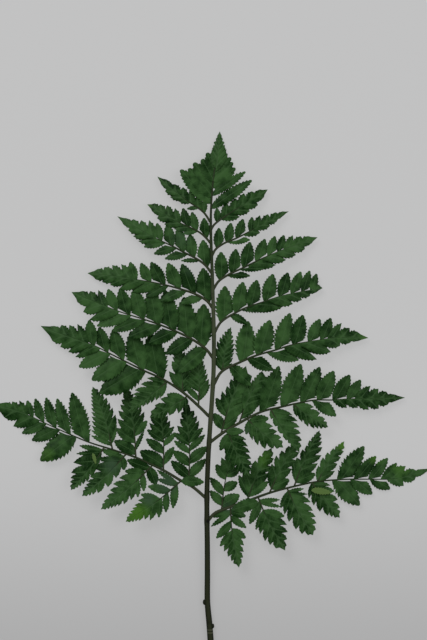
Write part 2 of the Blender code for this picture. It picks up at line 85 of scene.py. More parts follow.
# Side branches, each with these entries:
# rib: places along it
# lean: degrees between leaflets and rib, upper side near the stem and near the tip, then lower side
# free: share of the branch before which leaflets are free of each other, upper side and lower side
# upper and lower: tips of the leaflets in turn, with Feet for the places on the rib where they stand
# lobes: for a leaflet that is cut into segments, the share of its rib before which they are free,
# and the tips of its lobes
# extra: leaflets that lie on top, as foot, tip and paleness
# crowd and ratios: stand in for those of growth
sideBranches = {
    "left1": {
        "rib": [(206, 498), (193, 487), (180, 480), (163, 470), (137, 458), (113, 450), (90, 443),
            (70, 435), (45, 424), (18, 412), (-12, 404)],
        "lean": (60, 46, 52, 46), "free": (0.72, 0.7), "liesDown": True, "crowd": 0.265,
        "upper": [(185, 402), (159, 403), (126, 388), (92, 387), (71, 393), (56, 399), (45, 398), (34, 399),
            (26, 401), (18, 401), (11, 402), (4, 403)],
        "upperFeet": [(192, 478), (164, 469), (136, 457), (113, 448), (90, 440), (71.5, 433), (56.5, 427),
            (43.6, 423), (32.3, 418)],
        "lower": [(126, 521), (101, 509), (82, 496), (71, 490), (40, 461), (31, 441), (21, 434), (12, 427),
            (3, 418)],
        "lowerFeet": [(180, 483), (151, 468.5), (125, 457.5), (104, 448), (75, 440), (59, 432), (45, 427)],
        "lobes": {
            "upper0": (0.58, [(171, 461), (173, 451), (174, 441), (173, 433), (177, 426), (180, 419),
                (181, 413), (206, 459), (207, 447), (205, 435), (203, 428), (199, 421), (197, 416),
                (194, 411)]),
            "upper1": (0.5, [(140, 451), (146, 439), (147, 430), (149, 423), (150, 417), (174, 447),
                (176, 433), (174, 427), (170, 421)]),
            "upper2": (0.36, [(114, 441), (116, 429), (117, 419), (118, 411), (120, 405), (121, 400),
                (144, 431), (147, 421), (144, 412)]),
            "upper3": (0.14, [(91, 436), (116, 425), (115, 415), (112, 408), (109, 403), (106, 398)]),
            "lower0": (0.45, [(157, 470), (157, 479), (148, 486), (141, 494), (138, 500), (173, 508),
                (166, 512), (159, 517), (150, 520), (145, 519)]),
            "lower1": (0.3, [(127, 460), (125, 471), (119, 478), (113, 484), (110, 490), (107, 496),
                (156, 485), (144, 491), (138, 497), (131, 500), (124, 504)]),
            "lower2": (0.16, [(101, 450), (98, 459), (93, 468), (90, 477), (124, 470), (116, 478),
                (108, 487), (98, 493)]),
            "lower3": (0.12, [(79, 446), (76, 454), (73, 463), (71, 473), (96, 468), (91, 476), (87, 482)]),
        },
        "extra": [((181, 481), (204, 482), 0.0), ((92.5, 453), (96, 464), 2.0)],
    },
    "left2": {
        "rib": [(209, 416), (200, 407), (183, 392), (163, 379), (143, 370), (123, 360), (109, 353),
            (95, 346), (78, 340), (58, 333), (40, 326)],
        "lean": (60, 46, 50, 44), "free": (0.6, 0.55), "crowd": 0.34,
        "upper": [(196, 344), (176, 341), (150, 333), (131, 331), (113, 329), (99, 327), (89, 320),
            (77, 324), (69, 325), (61, 325), (53, 326)],
        "upperFeet": [(200, 404), (183, 392), (164, 378), (145, 368), (125, 358.5), (109, 351),
            (95.5, 344)],
        "lower": [(150, 417), (128, 411), (100, 393), (92, 380), (79, 367), (75, 357), (68, 352), (60, 347),
            (52, 341)],
        "lowerFeet": [(187.5, 396), (166, 383), (146, 371), (126, 364), (110.5, 355)],
        "lobes": {
            "upper0": (0.22, [(184, 384), (210, 384)]),
            "upper1": (0.0, [(169, 371), (172, 361)]),
            "lower0": (0.12, [(167, 394), (160.5, 398.5), (155, 405), (151, 411), (186, 406), (178.5, 413),
                (169.5, 415), (162, 417.5)]),
            "lower1": (0.0, [(147, 378), (141, 384), (135, 390), (160, 398)]),
        },
    },
    "left3": {
        "rib": [(213, 358), (205, 348), (190, 338), (173, 330), (158, 324), (143, 319), (130, 315),
            (115, 310), (95, 302), (71, 292)],
        "lean": (60, 46, 50, 44), "free": (0.65, 0.62), "crowd": 0.34,
        "upper": [(204, 304), (184, 297), (165, 290), (150, 288), (134, 288), (120, 288), (108, 289),
            (98, 290), (90, 291), (82, 291)],
        "upperFeet": [(204.7, 346.2), (192, 337), (175.8, 330), (160.5, 323.5), (145, 318), (130.7, 314),
            (118, 310)],
        "lower": [(178, 372), (166, 354), (149, 343), (129, 337), (112, 331), (97, 326), (89, 320),
            (83, 312), (77, 302)],
        "lowerFeet": [(207, 351), (193, 341), (178, 333), (162, 326), (147, 320), (132, 316)],
    },
    "left4": {
        "rib": [(213, 309), (207, 301), (195, 294), (180, 289), (165, 285), (150, 282), (138, 280),
            (120, 277), (87, 273)],
        "lean": (60, 46, 36, 32), "free": (0.58, 0.36),
        "upper": [(203, 268), (182, 264), (168, 263), (151, 262), (141, 263), (130, 262), (121, 264),
            (112, 265), (104, 267), (97, 269)],
        "upperFeet": [(209.4, 303.5), (195.8, 294.5), (180.8, 289), (165.7, 285.2), (151.5, 282.2),
            (137.2, 279.8)],
        "lower": [(181, 303), (161, 301), (146, 297), (132, 292), (119, 289), (110, 285), (102, 282),
            (95, 279)],
        "lowerFeet": [(203, 298.5), (187.5, 291.5), (169, 286), (153.7, 283)],
    },
    "left5": {
        "rib": [(212, 274), (205, 265), (195, 258), (183, 252), (172, 246), (155, 238), (137, 228),
            (117, 216)],
        "lean": (58, 46, 34, 30), "free": (0.52, 0.45),
        "upper": [(203, 240), (190, 234), (178, 227), (167, 224), (157, 223), (149, 220), (141, 220),
            (133, 219), (126, 218)],
        "upperFeet": [(207.6, 268), (194.8, 258), (184.5, 252.5), (173.3, 246.6), (162, 241.3)],
        "lower": [(181, 261), (165, 259), (154, 254), (144, 247), (138, 241), (133, 236), (128, 230),
            (123, 224)],
        "lowerFeet": [(201, 262), (188.5, 255), (177, 248.7), (166, 243.2)],
    },
    "left6": {
        "rib": [(211, 244), (205, 237), (197, 231), (180, 223), (165, 214), (147, 204)],
        "lean": (56, 46, 34, 32), "free": (0.42, 0.18),
        "upper": [(204, 218), (192, 212), (183, 208), (175, 208), (167, 205), (160, 204), (154, 203)],
        "upperFeet": [(206.8, 239), (197.3, 231.2), (189.8, 227.5)],
        "lower": [(183, 234), (174, 229), (164, 224), (157, 218), (152, 211)],
        "lowerFeet": [(198, 231.5)],
    },
    "left7": {
        "rib": [(210, 222), (205, 214), (198, 208), (186, 200), (172, 189), (157, 176)],
        "lean": (54, 46, 36, 34), "free": (0.1, 0.1),
        "upper": [(205, 200), (197, 193), (190, 190), (183, 187), (175, 184), (166, 179)],
        "lower": [(187, 209), (178, 201), (170, 197), (165, 191), (161, 184)],
    },
    "right1": {
        "rib": [(208, 521), (214, 514), (222, 510), (245, 502), (270, 493), (293, 487), (318, 482),
            (345, 480), (370, 480), (395, 480), (412, 476), (434, 469)],
        "lean": (60, 46, 52, 46), "free": (0.75, 0.64), "liesDown": True, "ratios": (0.2, 0.26),
        "upper": [(233, 451), (272, 448), (299, 440), (320, 431), (345, 442), (365, 447), (377, 457),
            (389, 459), (398, 464), (407, 467), (415, 470), (424, 470)],
        "upperFeet": [(221.5, 510), (246.4, 500.5), (269.5, 493), (294.3, 486.5), (317.5, 481.5),
            (337.3, 479), (354, 478), (368.8, 478), (382, 480), (392, 480)],
        "lower": [(239, 567), (285, 550), (313, 535), (340, 518), (360, 506), (373, 495), (391, 490),
            (405, 487), (416, 481), (425, 475)],
        "lowerFeet": [(230.6, 508), (259, 500), (288, 492), (312.5, 485), (332.4, 482), (350.6, 481),
            (370.4, 480)],
        "lobes": {
            "upper0": (0.62, [(210, 491), (210, 478), (216, 465), (221.5, 458), (226, 454), (239.5, 495),
                (237.5, 482.5), (240, 469.5), (236.5, 461), (234, 455)]),
            "upper1": (0.23, [(238.8, 475.7), (243.8, 468.8), (255.5, 461), (260, 456), (265, 451),
                (268.5, 482), (269, 474), (272, 467), (274, 459)]),
            "upper2": (0.18, [(269, 470), (272, 464), (276.5, 456), (282, 451), (289, 446.5), (289.5, 480),
                (292, 469.4), (297, 461), (299.5, 453)]),
            "upper3": (0.25, [(293.5, 463), (297, 458), (303, 450), (307, 446), (310, 441), (315.8, 474.4),
                (318.3, 464), (322, 456), (323, 448)]),
            "upper4": (0.06, [(319, 466), (323.5, 458), (328, 453), (334, 449), (335.5, 471.5),
                (338, 464.5), (341.5, 458), (344.5, 452)]),
            "lower0": (0.38, [(210, 517), (211, 526.5), (216.3, 538.3), (220, 546), (224, 551.5),
                (228, 556.5), (245.7, 516.5), (246.3, 527.7), (245.7, 537.7), (244, 545.2), (243.6, 551.5),
                (243, 557)]),
            "lower1": (0.24, [(249.5, 524), (255.7, 529.6), (260, 534), (265, 541), (270, 544.6),
                (276, 548), (280, 500), (281.5, 507), (284.5, 516.4), (287, 525), (287.7, 532), (287, 539),
                (286.5, 545)]),
            "lower2": (0.16, [(280.5, 508), (284.5, 515), (289, 522), (296, 529.5), (302, 534), (304, 489),
                (307.7, 494.5), (311, 502.6), (313, 511), (315.8, 517), (316.5, 523.3), (315.8, 529.6)]),
            "lower3": (0.0, [(309, 499), (314, 506), (320, 512), (328, 516), (331, 486), (335, 492),
                (338, 500), (340, 508)]),
        },
        "extra": [((258, 501), (231, 510), 0.0), ((311, 490.5), (332, 493), 2.0)],
    },
    "right2": {
        "rib": [(210, 442), (222, 433), (237, 424), (260, 412), (280, 407), (298, 403), (315, 400),
            (333, 400), (350, 399), (375, 399), (406, 398)],
        "lean": (60, 46, 50, 44), "free": (0.64, 0.44),
        "upper": [(246, 366), (262, 371), (279, 366), (301, 364), (320, 367), (334, 371), (350, 375),
            (361, 380), (371, 386), (379, 389), (387, 392), (396, 395)],
        "upperFeet": [(221, 434), (239, 422.5), (259.4, 412.3), (281, 406.7), (300.5, 403.6), (317, 401),
            (332.3, 400), (346.7, 399)],
        "lower": [(249, 475), (283, 447), (299, 452), (328, 427), (336, 416), (347, 408), (358, 408),
            (369, 410), (379, 409), (388, 405), (397, 401)],
        "lowerFeet": [(227.6, 430), (247, 419), (270.7, 410), (293.3, 405), (311.8, 402)],
        "lobes": {
            "upper0": (0.3, [(214, 413), (216, 398), (222, 391), (227, 386), (231, 379), (235, 373),
                (237.5, 416.5), (248, 402), (252, 393), (254, 384), (252, 376)]),
            "upper1": (0.1, [(256.5, 407), (264, 398), (270, 391), (272.5, 384), (271, 378), (246, 396),
                (247, 386)]),
            "lower0": (0.16, [(220, 450), (226, 456), (228, 463), (233, 469), (244, 431), (246, 439),
                (248, 446), (250, 452), (251, 458), (252, 464)]),
            "lower1": (0.06, [(246, 434), (252.5, 440), (258, 445), (265, 448.5), (273, 448), (268.5, 418),
                (273, 426), (277, 431), (281, 437)]),
            "lower2": (0.0, [(271, 419), (275, 426), (280, 433), (286, 440), (292.5, 415), (297.5, 421),
                (299.5, 427), (300.5, 433), (301.5, 440)]),
            "lower3": (0.0, [(297, 417), (302, 422), (308, 426.5), (314, 428.5), (314, 407), (320, 413),
                (325, 419)]),
        },
        "extra": [((226, 432), (243, 430), 0.0)],
    },
    "right3": {
        "rib": [(214, 384), (222, 371), (240, 362), (257, 355), (275, 350), (291, 345), (307, 342),
            (320, 340), (335, 338), (369, 338)],
        "lean": (60, 46, 44, 40), "free": (0.66, 0.36),
        "upper": [(231, 327), (248, 321), (270, 320), (290, 313), (303, 315), (320, 319), (331, 318),
            (342, 323), (350, 328), (358, 332)],
        "upperFeet": [(222.5, 371), (240, 361.8), (256.3, 355), (274.8, 349.6), (292.3, 344.4),
            (307.7, 341), (320, 339.5), (332.3, 338)],
        "lower": [(251, 385), (273, 370), (298.5, 360), (317, 359.5), (331, 352), (340, 346), (350, 343),
            (359, 341)],
        "lowerFeet": [(229.5, 368.5), (247, 360), (266, 353), (291, 346.5), (305, 343)],
        "lobes": {
            "upper0": (0.0, [(213, 355), (215, 347), (217, 341), (220, 337)]),
        },
    },
    "right4": {
        "rib": [(214, 334), (221, 322), (235, 313), (248, 307), (263, 302), (278, 297), (290, 294),
            (305, 291), (323, 288)],
        "lean": (60, 46, 38, 34), "free": (0.85, 0.26),
        "upper": [(225, 286), (243, 282), (257, 280), (273, 274), (288, 272.5), (301, 271.5), (310, 270.5),
            (317, 273.5), (319.5, 284.5)],
        "upperFeet": [(220.4, 323), (234.6, 313.4), (247.9, 307), (263.6, 301.8), (278.7, 296.8),
            (290.7, 293.8), (301.2, 291.6), (310.3, 290)],
        "lower": [(248, 324), (269.5, 309.5), (284, 306), (293, 304), (302, 300), (310, 296), (317, 292)],
        "lowerFeet": [(230, 317), (239.5, 311.5), (256, 304.5)],
    },
    "right5": {
        "rib": [(213, 290), (219, 281), (230, 274), (243, 268), (255, 262), (268, 256), (285, 249),
            (318, 237)],
        "lean": (58, 46, 36, 32), "free": (0.62, 0.26),
        "upper": [(221, 252), (236, 249), (250, 242), (265, 239), (275, 236), (284, 235), (293, 235),
            (301, 236), (309, 236)],
        "upperFeet": [(219.4, 280.7), (230.6, 273.6), (242.6, 268.2), (255.4, 261.8), (267.4, 256.3),
            (277.2, 252)],
        "lower": [(250, 276), (264, 269), (276, 265), (286, 260), (296, 255), (305, 249), (312, 243)],
        "lowerFeet": [(226, 276), (238, 270), (254, 262.5)],
    },
    "right6": {
        "rib": [(212, 256), (216, 249), (225, 243), (235, 239), (245, 234), (262, 225), (289, 211)],
        "lean": (56, 46, 36, 32), "free": (0.48, 0.18),
        "upper": [(219, 228), (231, 223), (243, 219), (252, 217), (260, 215), (268, 214), (276, 212),
            (283, 211)],
        "upperFeet": [(216.3, 248.6), (226, 242.6), (235.8, 238.6)],
        "lower": [(250, 240), (260, 233), (270, 226), (277, 221), (284, 215)],
        "lowerFeet": [(226, 242.5)],
    },
    "right7": {
        "rib": [(211, 230), (215, 224), (226, 216), (240, 207), (253, 199), (268, 189)],
        "lean": (54, 46, 36, 34), "free": (0.1, 0.0),
        "upper": [(217, 208), (227, 202), (236, 198), (244, 193), (252, 191), (260, 189)],
        "lower": [(240, 217), (250, 211), (258, 205), (264, 197)],
    },
}

# Top of the frond, grown together: its rib, the tips along each side in turn, and the small
# branches below them as joint, tip and half width in squares
topBlade = {
    "rib": [(214.2, 181), (215.6, 170), (217.2, 158), (218.9, 142), (219.8, 130.2)],
    "left": [(212.0, 148.6), (213.6, 144.2), (215, 140.4), (216.4, 137), (217.8, 133.8)],
    "right": [(227.9, 152.8), (226.2, 148.2), (224.7, 144), (223.5, 140.4), (222.4, 137), (221.3, 133.8)],
    "starts": (0.25, 0.20),
    "cuts": (0.30, 0.14),
    "lean": 34,
    "branches": [((210.7, 204), (180.3, 169.6), 8.0), ((212.2, 209), (251.9, 180.1), 5.8),
                 ((211.6, 197), (188.4, 168.2), 7.6), ((212.8, 196), (245.6, 171.4), 4.6),
                 ((212.6, 189), (193.6, 162.4), 7.6), ((213.4, 188.5), (235.4, 167.6), 5.6),
                 ((213.4, 181), (201.8, 158.6), 6.8), ((214, 182), (232.9, 162), 5.8),
                 ((214.6, 173), (207, 152), 5.6), ((215, 175), (231, 157), 5.4)],
}

# Growth of the side branches
growth = {
    "cutLength": 37.0,           # squares: longer leaflets have coarse teeth
    "firstCut": 0.74,            # depth of the first and last cut where leaflets are grown together
    "lastCut": 0.14,
    "tilt": 0.09,                # fall of a side over its width
    "flatFrom": 0.86,            # share of a branch that lies down from which it is flat
    "tipHeightShare": 0.25,
    "crowd": 0.30,               # half width of a leaflet over the spaces on both sides of it
    "ratios": (0.245, 0.225),    # half width over length, upper and lower side
    "slimRatio": 0.195,          # the same for lower leaflets that lean less than slimLean
    "slimLean": 40,
    "coarseRatio": 0.26,
    "extraRatio": 0.22,
    "paleRatio": 0.15,
    "extraLift": 0.0012,         # metres that extra leaflets lie over their branch
}


# Smooth runs through given points

def makeRun(points, steps=8):
    knots = np.array(points, float)
    ends = [2 * knots[0] - knots[1]], [2 * knots[-1] - knots[-2]]
    padded = np.vstack([ends[0], knots, ends[1]])
    places = []
    for i in range(len(knots) - 1):
        before, start, end, after = padded[i:i + 4]
        for t in np.arange(steps) / steps:
            straight = start + (end - before) * t / 2
            bend = (2 * before - 5 * start + 4 * end - after) * t ** 2 / 2
            swing = (3 * start - before - 3 * end + after) * t ** 3 / 2
            places.append(straight + bend + swing)
    places.append(knots[-1])
    places = np.array(places)
    lengths = np.concatenate([[0], np.cumsum(np.linalg.norm(np.diff(places, axis=0), axis=1))])
    return {"places": places, "shares": lengths / lengths[-1], "length": lengths[-1]}


def pointAt(run, share):
    x = np.interp(share, run["shares"], run["places"][:, 0])
    y = np.interp(share, run["shares"], run["places"][:, 1])
    return np.stack([x, y], axis=-1)


def directionAt(run, share):
    share = np.asarray(share, float)
    step = pointAt(run, np.minimum(share + 0.02, 1)) - pointAt(run, np.maximum(share - 0.02, 0))
    return step / np.linalg.norm(step, axis=-1, keepdims=True)


def nearestOn(run, places):
    # share of the run, and distance from it, for each place
    starts = run["places"][:-1]
    steps = run["places"][1:] - starts
    offsets = places[:, None, :] - starts
    reach = np.clip((offsets * steps).sum(2) / (steps ** 2).sum(1), 0, 1)
    gaps = np.linalg.norm(offsets - steps * reach[..., None], axis=2)
    best = gaps.argmin(1)
    row = np.arange(len(places))
    shares = run["shares"][best] + reach[row, best] * np.diff(run["shares"])[best]
    return shares, gaps[row, best]


def turned(vector):
    return np.stack([-vector[..., 1], vector[..., 0]], axis=-1)


def unit(vector):
    return vector / max(np.linalg.norm(vector), 1e-9)


def toMetres(places, heights):
    x = (places[:, 0] - sheet["centreX"]) * sheet["square"]
    y = (sheet["centreY"] - places[:, 1]) * sheet["square"]
    return np.stack([x, y, heights], axis=1)


# Heights of the blades' middle surface

rachisRun = makeRun([(x, y) for x, y, height, width in rachisStations])
rachisShares = nearestOn(rachisRun, np.array([(x, y) for x, y, height, width in rachisStations], float))[0]
rachisHeights = [height for x, y, height, width in rachisStations]
rachisWidths = [width for x, y, height, width in rachisStations]


def rachisHeight(places):
    return np.interp(nearestOn(rachisRun, places)[0], rachisShares, rachisHeights)


def branchHeight(branch, rib):
    joint = rachisHeight(rib["places"][:1])[0] - sheet["halfDepth"]
    liesDown = branch.get("liesDown", False)
    tipHeight = 0.0 if liesDown else joint * growth["tipHeightShare"]

    def height(places):
        shares, gaps = nearestOn(rib, places)
        above = turned(directionAt(rib, shares))
        above = above * np.where(above[:, 1] > 0, -1, 1)[:, None]
        side = np.where(((places - pointAt(rib, shares)) * above).sum(1) > 0, 1, -1)
        run = np.minimum(shares / (growth["flatFrom"] if liesDown else 1), 1)
        rise = joint + (tipHeight - joint) * run ** 2
        fall = side * growth["tilt"] * gaps * sheet["square"]
        return np.maximum(rise - fall, 0) + sheet["halfDepth"]

    return height


# Blades: grids moved into place, with the distances from the nearest vein kept on their points

bladeLook = {
    "thickness": 0.00042,
    "lowest": 0.00024,           # no point of a blade's middle lies lower than this
    "highest": cadBox[1].z - 0.0003,
    "slant": 0.20,               # how far forward the side veins run, over the length
    "bow": 0.085,                # bend of the main vein over the length
    "groove": 0.16,              # millimetres deep at the main vein
    "grooveWidth": 0.28,
    "pleat": 0.055,              # millimetres, between side veins
    "cup": 0.11,                 # fall of the margins over the half width
    "onTop": 0.12,               # millimetres that a leaflet stands over its branch
    "slitReach": 9.0,            # squares from the foot where the slit along the rib is full
    "slitMost": 1.3,
}

# Places where the frond isn't plain green, yellowed or with a painted sheen: x, y, radius in squares,
# strength
yellowPlaces = [(137, 513, 17, 0.75), (345, 444, 11, 0.8), (377, 459, 9, 0.6), (402, 468, 14, 0.35),
                (369, 338, 10, 0.45), (264, 458, 13, 0.4), (45, 455, 12, 0.35), (149, 205, 5, 0.5)]
paintedSheenPlaces = [(167, 484, 14, 0.8), (148, 499, 9, 0.7), (112, 466, 11, 0.7), (181, 238, 13, 0.35),
               (190, 270, 8, 0.4), (228, 508, 8, 0.5), (245, 432, 7, 0.5)]


def patchShare(places, spots):
    share = np.zeros(len(places))
    for x, y, radius, strength in spots:
        gap = np.hypot(places[:, 0] - x, places[:, 1] - y)
        share = np.maximum(share, strength * np.clip(1.4 - 1.4 * gap / radius, 0, 1))
    return share


def newBlade():
    mesh = bmesh.new()
    # veinPlace: millimetres from the vein and along it, share to the margin. leafTone: tone, yellow,
    # painted sheen (above 1, the pale fold of extra leaflets)
    veinPlace = mesh.verts.layers.float_vector.new("veinPlace")
    leafTone = mesh.verts.layers.float_vector.new("leafTone")
    return {"mesh": mesh, "veinPlace": veinPlace, "leafTone": leafTone, "pale": 0.0}


def addPatch(blade, columns, rows, shape, heightOf):
    mesh = blade["mesh"]
    grid = bmesh.ops.create_grid(mesh, x_segments=columns, y_segments=rows, size=1)
    verts = grid["verts"]
    column = np.array([round((vert.co.x + 1) / 2 * columns) for vert in verts])
    row = np.array([round((vert.co.y + 1) / 2 * rows) for vert in verts])
    places, fromVein, alongVein, toMargin, lift = shape(column, row)
    heights = np.clip(heightOf(places) + lift * millimetre, bladeLook["lowest"], bladeLook["highest"])
    spots = toMetres(places, heights)
    tone = chance.random()
    yellow = patchShare(places, yellowPlaces)
    # painted sheen share, with the paleness of extra leaflets added on top
    paintedSheen = patchShare(places, paintedSheenPlaces) + blade["pale"]
    for i, vert in enumerate(verts):
        vert.co = spots[i]
        vert[blade["veinPlace"]] = (fromVein[i], alongVein[i], toMargin[i])
        vert[blade["leafTone"]] = (tone, yellow[i], paintedSheen[i])
    faces = list({face for vert in verts for face in vert.link_faces})
    faces.sort(key=lambda face: tuple(face.calc_center_median()))
    for face in faces:
        face.normal_update()
    if sum(face.normal.z * face.calc_area() for face in faces) < 0:
        bmesh.ops.reverse_faces(mesh, faces=faces)


leafletColumns = np.array([-1, -0.92, -0.62, -0.32, -0.07, 0, 0.07, 0.32, 0.62, 0.92, 1])

# Margins: teeth of a leaflet as (share of the tooth's length, share of its depth), sizes in squares.
# whole: length from which the teeth have their full size, slit: space between blade and rib, gap: what
# is cut from the blade's base on its far side
fineTeeth = {"form": [(0, 0), (0.80, 1)], "spacing": 3.1, "first": 1.9, "last": 1.2, "level": 0.4,
             "fullness": 0.84, "wedge": 0.68, "slit": 1.9, "whole": 36}
coarseTeeth = {"form": [(0, 0), (0.42, 0.58), (0.50, 0.46), (0.88, 1)], "spacing": 4.6, "first": 3.4,
               "last": 1.6, "level": 0.5, "fullness": 0.82, "wedge": 0.70, "slit": 1.7, "whole": 30}
branchTeeth = {"form": [(0, 0), (0.42, 0.58), (0.50, 0.48), (0.84, 1)], "spacing": 4.0, "first": 2.4,
               "last": 1.3, "level": 0.5, "fullness": 0.84, "wedge": 0.60, "gap": 0.3, "whole": 16}
segmentTeeth = {"form": [(0, 0), (0.80, 1)], "spacing": 3.1, "first": 0.4, "last": 0.9, "level": 0.4,
                "fullness": 0.92, "wedge": 0.68, "slit": 0.9, "whole": 12}


def clearOf(rib, foot, tip, slit):
    # keeps a leaflet's points off the rib that it stands on, except at its foot
    share, gap = nearestOn(rib, tip[None])
    side = np.sign((turned(directionAt(rib, share)) * (tip - pointAt(rib, share))).sum())

    def move(places):
        shares, gaps = nearestOn(rib, places)
        normal = turned(directionAt(rib, shares)) * side
        clear = ((places - pointAt(rib, shares)) * normal).sum(1)
        wide = np.linalg.norm(places - foot, axis=1) / bladeLook["slitReach"]
        wanted = slit * np.clip(wide, 0, bladeLook["slitMost"])
        return places + normal * np.maximum(wanted - clear, 0)[:, None]

    return move


def addLeaflet(blade, root, tip, basalSide, half, heightOf, look, bend, rib=None):
    # one free leaflet: its vein bows to the distal side above the foot, so the base is fuller there
    chord = tip - root
    length = np.linalg.norm(chord)
    axis = chord / length
    across = turned(axis)
    basalSign = 1 if across @ basalSide > 0 else -1
    teeth = max(4, round(length * 1.1 / look["spacing"]))
    steps = len(look["form"])
    alongTooth = np.array([along for along, deep in look["form"]])
    deepTooth = np.array([deep for along, deep in look["form"]])
    slant = 4 * bladeLook["slant"]
    size = min(1.0, (length / look["whole"]) ** 1.1)
    twist = basalSign * math.radians(chance.uniform(1, 9))
    droop = chance.uniform(-0.05, 0.015) * length * squareMm
    roll = chance.uniform(0.6, 1.5) * bladeLook["cup"]
    tilt = bend * chance.uniform(0.85, 1.15)
    keepOff = clearOf(rib, root, tip, look["slit"]) if rib else lambda places: places

    def spine(share):
        bow = -basalSign * tilt * length * bladeLook["bow"]
        bow = bow * (1 - np.exp(-share / 0.05)) * (1 - share) ** 0.9
        return root + chord * share[:, None] + across * bow[:, None]

    def shape(column, row):
        side = leafletColumns[column]
        reach = abs(side)
        margin = (row // steps + alongTooth[row % steps]) / teeth
        vein = ((1 + slant) - np.sqrt((1 + slant) ** 2 - 4 * slant * margin)) / (2 * slant)
        width = half * np.sin(np.pi * margin ** look["fullness"]).clip(0) ** look["wedge"]
        deep = size * (look["first"] + (look["last"] - look["first"]) * margin)
        deep = np.minimum(deep * np.clip((margin - 0.08) / 0.14, 0, 1), 0.75 * width)
        width = width + deep * (deepTooth[row % steps] - look["level"])
        gap = look.get("gap", 0) * np.exp(-((margin - 0.15) / 0.13) ** 2)
        width = np.maximum(width - np.where(np.sign(side) == -basalSign, gap, 0), 0.3 * width)
        veinSpot = spine(vein)
        marginSpot = spine(margin) + across * (width * np.sign(side))[:, None]
        places = keepOff(veinSpot + (marginSpot - veinSpot) * reach[:, None])
        fromVein = abs((places - spine(((places - root) @ axis / length).clip(0, 1))) @ across) * squareMm
        alongVein = ((places - root) @ axis) * squareMm
        widthMm = width * squareMm
        fade = np.clip(4 * vein * (1 - vein), 0, 1)
        lift = -bladeLook["groove"] * np.exp(-(fromVein / bladeLook["grooveWidth"]) ** 2) * fade
        lift = lift - roll * widthMm * reach ** 2
        pleat = (1 - 2 * deepTooth[row % steps]) * np.sin(np.pi * np.minimum(reach, 0.95))
        lift = lift + bladeLook["pleat"] * pleat * fade
        lift = lift + math.sin(twist) * side * widthMm + droop * vein ** 2 + bladeLook["onTop"]
        return places, fromVein, alongVein, reach, lift

    addPatch(blade, len(leafletColumns) - 1, steps * teeth, shape, heightOf)


fringeColumns = np.array([0, 0.12, 0.38, 0.66, 0.92, 1])
fringeLook = {"toothSpacing": 3.1, "toothSize": 1.2, "bulge": 0.13, "valley": 0.30, "rootValley": 0.42}


def addFringe(blade, run, lobes, startShare, cuts, heightOf, toothSize):
    # one side of a blade that is whole along its rib: lobes are (share of the rib, tip) in turn
    keys = []
    notch = (startShare, pointAt(run, startShare))
    tips = [np.array(tip, float) for share, tip in lobes] + [pointAt(run, 1.0)]
    shares = [share for share, tip in lobes] + [1.0]
    for i in range(len(lobes)):
        share, tip = shares[i], tips[i]
        cut = cuts[0] + (cuts[1] - cuts[0]) * (i + 1) / len(lobes)
        afterShare = share + fringeLook["rootValley"] * (shares[i + 1] - share)
        valley = tip + (tips[i + 1] - tip) * fringeLook["valley"]
        base = pointAt(run, afterShare)
        after = (afterShare, base + (valley - base) * (1 - cut))
        edge = tip - notch[1]
        outward = turned(unit(edge))
        if outward @ (pointAt(run, share) - tip) > 0:
            outward = -outward
        if outward @ directionAt(run, share) > 0:
            outward = outward * 0.4
        span = np.linalg.norm(edge)
        teeth = max(1, round(span / fringeLook["toothSpacing"]))
        for k in range(teeth):
            for along, tooth in ((k / teeth, 0.0), ((k + 0.72) / teeth, toothSize)):
                bulge = fringeLook["bulge"] * span * 4 * along * (1 - along)
                tooth = tooth * min(span / 6, 1.0) * (k + 1 < teeth or teeth == 1)
                spot = notch[1] + edge * along + outward * (bulge + tooth)
                keys.append((notch[0] + (share - notch[0]) * along, spot, abs(along - 1) * span))
        keys.append((share, tip, 0.0))
        back = after[1] - tip
        keys.append((share + (after[0] - share) * 0.5, tip + back * 0.5, np.linalg.norm(back) * 0.5))
        notch = after
    keys.append((notch[0], notch[1], 1.5))
    keys.append((1.0, pointAt(run, 1.0), 0.0))
    keyShares = np.array([key[0] for key in keys])
    margins = np.array([key[1] for key in keys])
    offsets = np.array([key[2] for key in keys])
    roots = pointAt(run, keyShares)
    rise = chance.uniform(-0.03, 0.03)

    def shape(column, row):
        reach = fringeColumns[column]
        root = roots[row]
        places = root + (margins[row] - root) * reach[:, None]
        width = np.linalg.norm(margins[row] - root, axis=1) * squareMm
        fromVein = np.minimum(offsets[row], 6) * reach * squareMm * 0.7
        alongVein = reach * width
        lift = -0.05 * np.exp(-(fromVein / 0.5) ** 2) * np.sin(np.pi * reach)
        lift = lift - bladeLook["cup"] * 0.7 * width * reach ** 2
        lift = lift + rise * width * reach + bladeLook["onTop"]
        lift = lift + 0.10 * np.sin(np.pi * np.minimum(reach, 0.95))
        return places, fromVein, alongVein, reach, lift

    addPatch(blade, len(fringeColumns) - 1, len(keys) - 1, shape, heightOf)


# Leaflets that are cut into segments themselves

cutLook = {
    "crowd": 0.58,               # half width over the space beside the leaflet
    "forward": 46.0,             # degrees between a lobe and the rib
    "firstRoot": 0.06,
    "lobeSpacing": 5.6,          # squares
    "envelope": 0.345,           # width of the leaflet over its length, with its taper
    "taper": 0.62,
    "segmentRatio": 0.25,        # half width of a segment over its length, and over the gaps beside it
    "segmentCrowd": 0.59,
    "cuts": (0.62, 0.30),
    "toothSize": 0.5,
}


